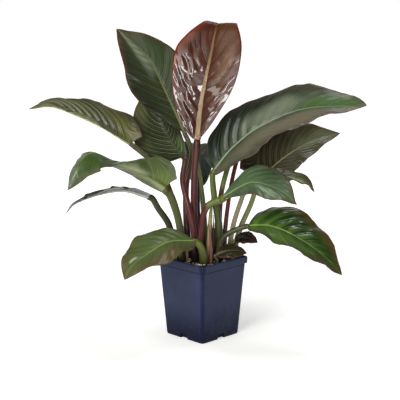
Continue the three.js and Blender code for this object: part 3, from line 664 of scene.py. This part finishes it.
def blade_points(leaf, look, path, s, t):
    """Points of the upper side. s: where the lateral vein starts. t: -1 to 1, edge to edge along it."""
    half = (t >= 0).astype(int)
    reach = np.abs(t)
    end = vein_end(leaf, s)
    margin = end * (1 + leaf.lobe) - leaf.lobe
    share = mix(s, margin, reach**VEIN_BEND)
    size = outline(leaf, end, half)
    full = of_half(leaf.half, half)
    across = reach * size * full
    base_fold, tip_fold = (of_half(fold, half) for fold in leaf.fold)
    turned = np.radians(mix(base_fold, tip_fold, np.maximum(share, 0)))

    hump = 4 * reach * (1 - reach)
    uneven = 1 + 0.5 * lattice_noise(s * 8 + 20, t * 2 + 20, look.seed)
    rounded = np.sqrt(np.sin(pi * look.veins * vein_lane(look, s, t)) ** 2 + 0.02) - 0.14
    pleat = rounded * hump * PLEAT_HEIGHT * of_half(look.pleat, half) * uneven
    pleat = pleat * mix(1, look.stripe_end, smooth(0.2, 0.7, s))
    fine = look.crumple
    crumple = lattice_noise(s * 17 * fine + 40, t * 3.4 * fine + 40, look.seed + 1)
    crumple += 0.5 * lattice_noise(s * 33 * fine, t * 7 * fine + 9, look.seed + 2)
    pucker = crumple * hump * of_half(look.pucker, half) * smooth(*look.pucker_span, s)
    wave = np.sin(2 * pi * of_half(WAVES, half) * s + WAVE_SHIFT * half + leaf.wave)
    wave = leaf.wave * reach**2 * wave
    frill = look.frill * reach**4 * lattice_noise(s * 26 + 7, half * 9.0, look.seed + 3)
    droop = DROOP * full * reach**2
    origin, side, up = blade_frame(leaf, path, share)
    lift = across * np.sin(turned) + (pleat + pucker + wave + frill - droop) * size
    return origin + side * (np.sign(t) * across * np.cos(turned))[..., None] + up * lift[..., None]


def keel_depth(leaf):
    return KEEL_SHARE * leaf.radii[2]


def make_blade(name, leaf, look):
    s = np.linspace(0, 1, BLADE_ROWS + 1)[:, None]
    rib_half = mix(*look.rib_width, s**0.7)
    skin = np.linspace(0, 1, SKIN_COLUMNS + 1)[1:] ** 0.9

    def columns(half):
        """Reaches and widths of one half, from the midrib outwards."""
        width = np.maximum(outline(leaf, vein_end(leaf, s), half) * of_half(leaf.half, half), 0.01)
        band = np.minimum(rib_half / width, 0.5)
        reach = np.hstack([band * RIB_COLUMNS, mix(RIB_COLUMNS[-1] * band, 1, skin)])
        return reach, width * np.ones_like(reach)

    (left, left_width), (right, right_width) = columns(0), columns(1)
    t = np.hstack([-left[:, :0:-1], right])
    width = np.hstack([left_width[:, :0:-1], right_width])
    s = s * np.ones_like(t)
    top = blade_points(leaf, look, Path(leaf.midrib), s, t)
    normals = grid_normals(top)
    normals[-1] = normals[-2]
    rib = np.abs(t) * width / rib_half
    profile = np.where(rib < 1, np.cos(pi * rib), -smooth(-2, -1, -rib))
    top = top + normals * (look.rib_height * profile * mix(1, 0.3, s))[..., None]
    lane = vein_lane(look, s, t)
    off_vein = np.abs((lane * look.veins + 0.5) % 1 - 0.5)
    ridge = RIDGE_HEIGHT * (1 - smooth(0, 0.09, off_vein)) * (1 - smooth(0.3, 0.95, np.abs(t)))
    keel = keel_depth(leaf) * (1 - s) ** KEEL_FADE * np.maximum(0, 1 - (rib / KEEL_REACH) ** 2)
    thickness = mix(BLADE_THICKNESS, BLADE_EDGE_THICKNESS, np.abs(t) ** 3) + ridge + keel
    thickness *= mix(1, 0.5, smooth(0.93, 1, s))
    add_sheet(
        f"{name}_blade_fine", top, top - normals * thickness[..., None], f"{name}_blade", look.slot,
        blade_paint(f"{name}_skin", look), along=s, lane=lane, across=t, rib=rib,
        edge=(1 - np.abs(t)) * width, under=np.array([0, 1])[:, None, None],
    )


def blade_paint(name, look):
    """Glossy skin with a pale midrib, fine side veins, a tinged edge and a duller underside; pale bands of
    painted light on the pleats' crests and some patches of painted sheen or shade.
    """
    paint = Paint(name, IOR=1.45, Specular_IOR_Level=look.shine, Coat_Roughness=look.coat_rough)
    facts = ("along", "lane", "across", "rib", "edge", "under")
    along, lane, across, rib, edge, under = map(paint.fact, facts)
    reach = abs(across)

    cloud = paint.noise(24, 2)
    grain = paint.noise(420, 2)
    off_vein = abs((lane * look.veins + 0.5).fraction() - 0.5)
    vein = (off_vein + reach * 0.035).fall(0.012, 0.07)
    wobble = paint.noise(60) * 0.5
    small = abs((lane * FINE_VEINS + wobble).fraction() - 0.5).fall(0, 0.32)
    small = small * cloud.rise(0.3, 0.6, 0.3, 1)
    # Pale bands along the crests between the side veins: painted light on the pleats.
    crest_light = off_vein.rise(0.05, 0.45) * (1 - reach)
    crest_light = crest_light * along.rise(0.2, 0.7, look.band, look.band * look.stripe_end)
    tinge = edge.fall(1, look.tinge_width) * (cloud + 0.3)
    ribbed = (rib + grain * 0.2).fall(0.7, 1.25) * lane.rise(0.35, 0.9, 1, look.rib_end)
    # Patches of colour: some are the leaf's own colour, some painted sheen and some painted shade.
    spots = []
    for s, t, length, breadth, tone in look.spots:
        away = (((lane - s) / length) ** 2.0 + ((across - t) / breadth) ** 2.0) ** 0.5
        spots.append((tone, (away + cloud * 0.8).fall(0.7, 1.7)))

    upper = paint.layers(
        look.skin,
        (look.shade, cloud.rise(0.38, 0.66)),
        *spots,
        (look.pale, crest_light),
        (look.vein, small * look.fine),
        (look.vein, vein * look.vein_share),
        (look.tinge, tinge * look.tinge_share),
        (look.rib, ribbed),
        (look.edge, edge.fall(0.35, 0.9)),
    )
    lower = paint.layers(
        look.under,
        (look.under_shade, cloud.rise(0.35, 0.7)),
        *spots,
        (look.under_rib, small * 0.2 + vein * 0.5),
        (look.under_rib, rib.fall(1.2, 2.0)),
    )
    skin = paint.blend(paint.blend(upper, lower, under), GREY, (grain - 0.5) * 0.12, "OVERLAY")
    rough = cloud * 0.14 + (look.rough - 0.05) + under * 0.16 + rib.rise(0.8, 1.2, 0.1, 0)
    height = small * 0.35 + grain * 0.3 + vein * 0.4
    gloss = (along + cloud * 0.2).rise(*look.gloss_span, look.coat, look.coat * look.gloss_end)
    gloss = gloss * (1 - ribbed * 0.85) * across.rise(-0.1, 0.1, *look.gloss_side)
    return paint.done(skin, rough, height, 0.00035, Coat_Weight=gloss)


# Stalks
def make_stalk(name, leaf, look):
    origin, side, up = blade_frame(leaf, Path(leaf.midrib), np.zeros(1))
    tangent = np.cross(up[0], side[0])
    end = origin[0] - up[0] * keel_depth(leaf) / 2
    bend = end - tangent * BEND_SHARE * leaf.radii[2]
    path = rooted_path(leaf.stalk, bend, end + tangent * STALK_LAP)
    angles = circle(STALK_SIDES)
    shares = np.linspace(0, 1, STALK_STEPS + 1)
    channel = look.groove * np.maximum(0, np.cos(angles - look.groove_turn)) ** 8
    rings = []
    for share, place, side, other in path.frames(shares):
        flare = 0.1 * exp(-max(share * path.length - HOLE_DEPTH, 0) / FLARE_LENGTH)
        joint = 0.07 * exp(-(((share - JOINT_PLACE) / JOINT_LENGTH) ** 2))
        radius = np.interp(share, [0, 0.5, 1], leaf.radii) * (1 + flare + joint)
        radius *= 1 - 0.16 * smooth(0.985, 1, share)
        ribs = 0.012 * np.sin(9 * angles + look.seed)
        ribs = ribs + 0.02 * lattice_noise(share * 9 + 3, look.seed, look.seed)
        radius = radius * (1 + ribs - channel)
        ring = np.outer(radius * np.cos(angles), side) + np.outer(radius * np.sin(angles), other)
        rings.append(place + ring)
    add_piece(
        f"{name}_stalk_fine", rings, tube_faces(len(rings), STALK_SIDES), f"{name}_stalk", look.stalk_slot,
        stalk_paint(f"{name}_stalk_skin", look), along=shares[:, None], turn_x=np.cos(angles),
        turn_y=np.sin(angles),
    )


def stalk_paint(name, look):
    """Satin skin that goes from one colour at the foot to another at the blade, with long streaks, and
    darkest near the soil from soil stain and painted shade.
    """
    paint = Paint(name, IOR=1.45, Specular_IOR_Level=0.15, Coat_Weight=0.25, Coat_Roughness=0.2)
    along, turn_x, turn_y = map(paint.fact, ("along", "turn_x", "turn_y"))

    def noise(scale, detail, around, length):
        where = paint.vector(turn_x * around, turn_y * around, along * length)
        return paint.noise(scale, detail, where)

    streak = noise(2.4, 4, 3, 1.2)
    fleck = noise(9, 3, 1.6, 5)
    cloud = noise(1.2, 2, 2.2, 7)
    foot, middle, top = look.stalk
    rise = along + (cloud - 0.5) * 0.35
    # Darker towards the soil: a soil stain low down and painted shade of the crowded stalk bases above it.
    soil_stain_and_shade = along.fall(0.08, 0.42)
    skin = paint.layers(
        foot,
        (middle, rise.rise(0.12, 0.5)),
        (top, rise.rise(*look.top_span)),
        (look.streak, streak.rise(0.5, 0.72) * look.streak_share),
        (look.fleck, fleck.rise(0.6, 0.72) * 0.4),
        (look.joint, abs(along - 0.955).fall(0.004, 0.02) * 0.7),
        ("150e0c", soil_stain_and_shade * 0.85),
    )
    rough = streak * 0.2 + 0.28 + soil_stain_and_shade * 0.2
    return paint.done(skin, rough, streak + fleck * 0.4, 0.0004)


# Thin curled strips
def make_strip(name, half_width, path, tones, seed, slot=None):
    """Strip that is rooted in the soil; without a slot of its own it is in the looks alone."""
    shares = np.linspace(0, 1, STRIP_ROWS)
    across = np.linspace(-1, 1, STRIP_COLUMNS)
    top = []
    for along, place, side, other in rooted_path(path).frames(shares):
        narrow = mix(0.12, 1, cos(pi / 2 * along**2.5))
        ragged = 1 + 0.14 * lattice_noise(along * 14 + 2, np.sign(across) * 3.0, seed)
        turn = across * mix(1.5, 0.7, along) * ragged
        radius = half_width * narrow / 1.3
        crease = 0.25 * lattice_noise(along * 20 + 5, across * 3 + 9, seed + 1)
        out = radius * (np.cos(turn) - 0.5) + crease
        top.append(place + np.outer(radius * np.sin(turn), side) - np.outer(out, other))
    top = np.array(top)
    bottom = top - grid_normals(top) * STRIP_THICKNESS
    node = name if slot else None
    paint = dry_paint(f"{name}_skin", *tones)
    add_sheet(f"{name}_fine", top, bottom, node, slot or "crown", paint, along=shares[:, None], across=across)


def dry_paint(name, light, dark, base):
    """Papery skin with long fibres, darker towards the soil."""
    paint = Paint(name, IOR=1.4)
    along, across = paint.fact("along"), paint.fact("across")
    fibre = paint.noise(7, 5, paint.vector(across * 2.4, along * 0.6))
    cloud = paint.noise(90)
    skin = paint.layers(light, (dark, fibre.rise(0.38, 0.66)), (dark, cloud.rise(0.55, 0.75) * 0.5))
    skin = paint.blend(skin, base, (along + cloud * 0.1).fall(0.15, 0.4))
    return paint.done(skin, cloud * 0.2 + 0.6, fibre, 0.0004)


# Short ringed stems
def make_crown(name, place, radius, height, seed):
    angles = circle(CROWN_SIDES)
    rings = []
    for z in np.linspace(-HOLE_DEPTH, height, CROWN_STEPS + 1):
        up = max(z, 0) / height
        leaf_scar = up * CROWN_SCARS % 1
        size = radius * (1 - 0.42 * up) * (1 - 0.12 * smooth(0.7, 1, leaf_scar))
        size = size * sqrt(max(1 - up**6, 0.01)) * 0.97
        size = size * (1 + 0.07 * lattice_noise(angles * 2 + 5, up * 6, seed))
        size = size * (1 + 0.03 * np.sin(angles * 5 + seed))
        x, y = place[0] + size * np.cos(angles), place[1] + size * np.sin(angles)
        rings.append(np.stack(np.broadcast_arrays(x, y, SOIL_TOP + z), -1))
    faces = tube_faces(len(rings), CROWN_SIDES)
    add_piece(f"{name}_fine", rings, faces, name, "crown", crown_paint(f"{name}_skin"))


def crown_paint(name):
    paint = Paint(name, IOR=1.4)
    cloud, fine = paint.noise(160, 4), paint.noise(700)
    skin = paint.layers("3c3220", ("1c130c", cloud.rise(0.4, 0.65)), ("6a5434", fine.rise(0.6, 0.75) * 0.5))
    return paint.done(skin, cloud * 0.2 + 0.55, fine + cloud, 0.0006)


# Pot
def square_ring(side, corner, z):
    """Ring of a square with round corners, corner-on."""
    quarter = np.repeat(np.arange(4), CORNER_STEPS + 1)
    angle = (quarter + np.tile(np.arange(CORNER_STEPS + 1) / CORNER_STEPS, 4)) * pi / 2
    middle = (quarter + 0.5) * pi / 2
    inset = side / 2 - corner
    x = np.sign(np.cos(middle)) * inset + np.cos(angle) * corner
    y = np.sign(np.sin(middle)) * inset + np.sin(angle) * corner
    return np.stack(np.broadcast_arrays(*spun(x, y, pi / 4), z), -1)


def body_side(z):
    return mix(FOOT_SIDE, BODY_TOP_SIDE, z / UNDER_LIP)


def rounded(start, end, corner, steps=5):
    """Points (side, z) of a quarter round from start to end; corner is where its two lines would meet."""
    start, end, corner = map(np.array, (start, end, corner))
    centre = start + end - corner
    turns = np.linspace(0, pi / 2, steps)
    return [tuple(centre + (start - centre) * cos(a) + (end - centre) * sin(a)) for a in turns]


def make_pot():
    lip, inner, top, r = LIP_SIDE, LIP_SIDE - 2 * WALL, POT_HEIGHT, LIP_ROUND
    neck = UNDER_LIP - NECK_ROUND
    ledge = BODY_TOP_SIDE + NECK_LEDGE
    foot = body_side(0)
    outside = rounded((foot - FOOT_ROUND, 0), (body_side(FOOT_ROUND), FOOT_ROUND), (foot, 0), 8)
    outside += [(body_side(z), z) for z in np.linspace(FOOT_ROUND, neck, 14)[1:]]
    outside += rounded((body_side(neck), neck), (ledge, UNDER_LIP), (BODY_TOP_SIDE, UNDER_LIP))[1:]
    outside += rounded((lip - 2 * r, UNDER_LIP), (lip, UNDER_LIP + r), (lip, UNDER_LIP))
    for share in np.linspace(0, 1, 6)[1:-1]:
        outside.append((lip + LIP_SWELL * sin(pi * share), mix(UNDER_LIP + r, top - r, share)))
    outside += rounded((lip, top - r), (lip - 2 * r, top), (lip, top))
    inside = rounded((inner + 2 * INNER_ROUND, top), (inner, top - INNER_ROUND), (inner, top), 3)
    inside += [(inner, UNDER_LIP + WALL), (BODY_TOP_SIDE - 2 * WALL, UNDER_LIP + WALL / 2)]
    inside += [(body_side(z) - 2 * WALL, z) for z in (INNER_RING, WALL)]
    rings = [square_ring(side, CORNER_RADIUS, z) for side, z in outside]
    rings += [square_ring(side, CORNER_RADIUS - WALL, z) for side, z in inside]
    faces = tube_faces(len(rings), len(rings[0]))
    cut_notches(add_piece("pot_fine", rings, faces, "pot", "pot", pot_paint("pot_plastic")))


def cut_notches(pot):
    """Arched drainage notches in the foot of each side."""
    half, near, far = NOTCH_WIDTH / 2, (FOOT_SIDE - NOTCH_DEPTH) / 2, (FOOT_SIDE + NOTCH_DEPTH) / 2
    arch = [(half * x, NOTCH_HEIGHT * (1 - x**12) ** 0.5) for x in np.linspace(-1, 1, 17)]
    arch = [(-half, -NOTCH_BELOW), *arch, (half, -NOTCH_BELOW)]
    weld(pot)
    cutters = []
    for side in range(4):
        turn = pi / 4 + side * pi / 2
        points = [(*spun(x, y, turn), z) for y in (near, far) for x, z in arch]
        cutter = add_mesh("notch", points, tube_faces(2, len(arch)))
        weld(cutter)
        cutters.append(cutter)
        cut = pot.modifiers.new("notch", "BOOLEAN")
        cut.operation = "DIFFERENCE"
        cut.solver = "EXACT"
        cut.object = cutter
    evaluated = pot.evaluated_get(bpy.context.evaluated_depsgraph_get())
    shaped = bpy.data.meshes.new_from_object(evaluated)
    pot.modifiers.clear()
    pot.data = shaped
    for cutter in cutters:
        bpy.data.objects.remove(cutter)
    shaped.set_sharp_from_angle(angle=radians(SHARP_ANGLE))


def pot_paint(name):
    """Slate-blue moulded plastic: faint flow lines down the sides, a dull bloom; painted shade at the foot,
    the corners, under the lip and in the notches.
    """
    paint = Paint(name, IOR=1.48, Specular_IOR_Level=0.1)
    place = paint.place()
    x, y, z = (paint.part(place, axis) for axis in "XYZ")
    height = z / (POT_HEIGHT * MM)
    cloud = paint.noise(18)
    flow = paint.noise(1, 4, paint.vector(x * 260, y * 260, z * 9))
    grain = paint.noise(1600, 2)
    outer = height * ((BODY_TOP_SIDE - FOOT_SIDE) / 2 * POT_HEIGHT / UNDER_LIP) + FOOT_SIDE / 2
    sides = abs(x + y), abs(x - y)
    near, far = (x.math(pick, *sides) / (sqrt(2) * MM) for pick in ("MINIMUM", "MAXIMUM"))
    dust = paint.noise(300, 4).rise(0.62, 0.72) * height.rise(0.0, 0.9, 0.5, 0.15)
    # A thin band just under the lip: painted shadow.
    lip_shadow = abs(height - (1 - (LIP_DROP + 1.5) / POT_HEIGHT)).fall(0.004, 0.022)
    skin = paint.layers(
        "080e26",
        # Lighter upwards from a near-black foot: painted shade towards the bottom.
        ("2a3048", height.rise(0.03, 0.5)),
        # Darker along the corners: painted shade of the reflections there.
        ("0c1532", (near / outer).rise(0.86, 0.95) * 0.85),
        ("363f5a", cloud.rise(0.5, 0.75) * 0.3),
        ("1c2340", flow.rise(0.52, 0.7) * 0.2),
        ("8a8478", dust * 0.35),
        ("0c1020", lip_shadow * 0.7),
        # Near black on the inner walls and notch cuts near the foot: painted shade in the recesses.
        ("030304", (outer - far).rise(1.5, 3) * height.fall(0.08, 0.1)),
    )
    rough = cloud * 0.16 + 0.3 + dust * 0.3
    return paint.done(skin, rough, grain * 0.5 + flow * 0.2, 0.0003)


# Soil
def soil_height(x, y):
    heap = SOIL_HEAP * smooth(*HEAP_SPAN, -y)
    return SOIL_TOP + heap + sum(height * np.sin(a * x + b * y + shift) for a, b, shift, height in SOIL_WAVES)


def make_soil():
    rim = SOIL_TOP - SOIL_BAND
    corner = CORNER_RADIUS - WALL
    foot, side = (body_side(z) - 2 * WALL - 2 * FIT_GAP for z in (WALL, rim))
    rings = [square_ring(foot, corner, WALL + FIT_GAP), square_ring(side, corner, rim)]
    for step in range(SOIL_RINGS):
        share = 1 - step / SOIL_RINGS
        width = side * share
        ring = square_ring(width, mix(width * SOIL_ROUNDING, corner, share), 0)
        x, y = ring[:, 0], ring[:, 1]
        crumbly = lattice_noise(x / 2.6 + 40, y / 2.6 + 40, 3)
        crumbly += 0.6 * lattice_noise(x / 1.2 + 60, y / 1.2 + 60, 4)
        drop = SOIL_EDGE_DROP if step == 0 else 0
        ring[:, 2] = soil_height(x, y) - drop + SOIL_ROUGHNESS * crumbly
        rings.append(ring)
    faces = tube_faces(len(rings), len(rings[0]))
    weld(add_piece("soil_fine", rings, faces, "soil", "soil", soil_paint("soil_peat")))
    make_crumbs(side / 2 - CRUMB_MARGIN)


def make_crumbs(half):
    """Loose crumbs, bark chips and pale fibres on the soil, as one piece."""
    draw = np.random.default_rng(11)
    block = bmesh.new()
    bmesh.ops.create_icosphere(block, subdivisions=1, radius=1)
    ball = np.array([vert.co[:] for vert in block.verts])
    ball_faces = [tuple(vert.index for vert in face.verts) for face in block.faces]
    block.free()
    points, faces, tones = [], [], []
    for kind in ["crumb"] * CRUMBS + ["chip"] * CHIPS + ["fibre"] * FIBRES:
        x, y = spun(*draw.uniform(-half, half, 2), pi / 4)
        shape = ball * (1 + 0.35 * draw.uniform(-1, 1, (len(ball), 1)))
        if kind == "crumb":
            shape = shape * draw.uniform(0.6, 1.8) * draw.uniform(0.6, 1, 3)
            tone = draw.uniform(0, 0.35)
        elif kind == "chip":
            shape = shape * np.array([1, 0.6, 0.35]) * draw.uniform(1.2, 3.2)
            tone = draw.uniform(0.35, 1)
        else:
            shape = shape * np.array([draw.uniform(2, 5), 0.3, 0.3])
            tone = draw.uniform(0.5, 1)
        tilt, spin = draw.uniform(-0.6, 0.6), draw.uniform(0, 2 * pi)
        lean_x, lean_z = spun(shape[:, 0], shape[:, 2], tilt)
        turned = np.stack([*spun(lean_x, shape[:, 1], spin), lean_z], -1)
        faces.extend(tuple(len(points) + index for index in face) for face in ball_faces)
        points.extend(turned + [x, y, soil_height(x, y) + CRUMB_LIFT])
        tones.extend([tone] * len(ball))
    crumbs = add_piece("soil_crumbs", points, faces, None, "soil", crumb_paint("soil_crumb"), tone=tones)
    crumbs.data.polygons.foreach_set("use_smooth", [False] * len(crumbs.data.polygons))


def soil_paint(name):
    paint = Paint(name, IOR=1.35)
    coarse, fine = paint.noise(380, 5), paint.noise(1500)
    skin = paint.layers("1c140e", ("3a2a1c", coarse.rise(0.4, 0.65)), ("6a5238", fine.rise(0.64, 0.74) * 0.6))
    # Near black below 30 to 40 mm, which shows only through the pot's notches: painted shade.
    skin = paint.blend(skin, "050404", paint.part(paint.place(), "Z").fall(0.03, 0.04))
    return paint.done(skin, fine * 0.1 + 0.85, coarse + fine, 0.001)


def crumb_paint(name):
    paint = Paint(name, IOR=1.35)
    tone, fine = paint.fact("tone"), paint.noise(1200)
    skin = paint.layers(
        "1f160f",
        ("4a3322", (tone + (fine - 0.5) * 0.2).rise(0.0, 0.45)),
        ("fff0d8", (tone + (fine - 0.5) * 0.3).rise(0.45, 0.75)),
    )
    return paint.done(skin, fine * 0.1 + 0.8, fine, 0.0004)


# Surroundings
def make_camera():
    lens = bpy.data.cameras.new("camera")
    lens.sensor_width = SENSOR
    lens.lens = LENS
    camera = add_object("camera", lens)
    camera.location = CAMERA_PLACE
    camera.rotation_euler = (radians(CAMERA_TILT), 0, 0)
    bpy.context.scene.camera = camera


def make_floor():
    half = FLOOR_HALF / MM
    corners = [(-half, -half, 0), (half, -half, 0), (half, half, 0), (-half, half, 0)]
    floor = add_mesh("floor", corners, [(0, 1, 2, 3)])
    paint = Paint("floor_white", Roughness=0.9, Base_Color=(0.8, 0.8, 0.8, 1), Emission_Strength=1)
    away = paint.node("ShaderNodeVectorMath", {"operation": "LENGTH"}, {0: paint.place()}, output="Value")
    floor.data.materials.append(paint.feed(Emission_Color=paint.blend(GREY, WHITE, away.rise(0.4, 1.6))))


def make_light(name, place, aim, size, power, tint=(1, 1, 1)):
    lamp = bpy.data.lights.new(name, "AREA")
    lamp.shape = "RECTANGLE"
    lamp.size, lamp.size_y = size
    lamp.energy = power
    lamp.color = tint
    light = add_object(name, lamp)
    light.location = place
    x, y, z = np.subtract(aim, place)
    light.rotation_euler = (atan2(hypot(x, y), -z), 0, atan2(-x, y))


def make_studio():
    """Bright wall behind, dimmer sides, front and ceiling, and soft lamps."""
    studio = Paint("studio", world=True, Color=WHITE)
    way = studio.node("ShaderNodeTexCoord", output="Generated")
    depth, height = (studio.part(way, axis).rise(*numbers) for axis, *numbers in WALLS)
    bpy.context.scene.world = studio.feed(Strength=depth * height)
    bpy.context.scene.view_settings.view_transform = "Standard"
    for lamp in LAMPS:
        make_light(*lamp)


make_camera()
make_floor()
make_studio()
make_pot()
make_soil()
for number, (name, (leaf, look)) in enumerate(LEAVES.items()):
    look.seed = 11 + 10 * number
    make_blade(name, leaf, look)
    make_stalk(name, leaf, look)
for name, strip in STRIPS.items():
    make_strip(name, *strip)
for name, crown in CROWNS.items():
    make_crown(name, *crown)
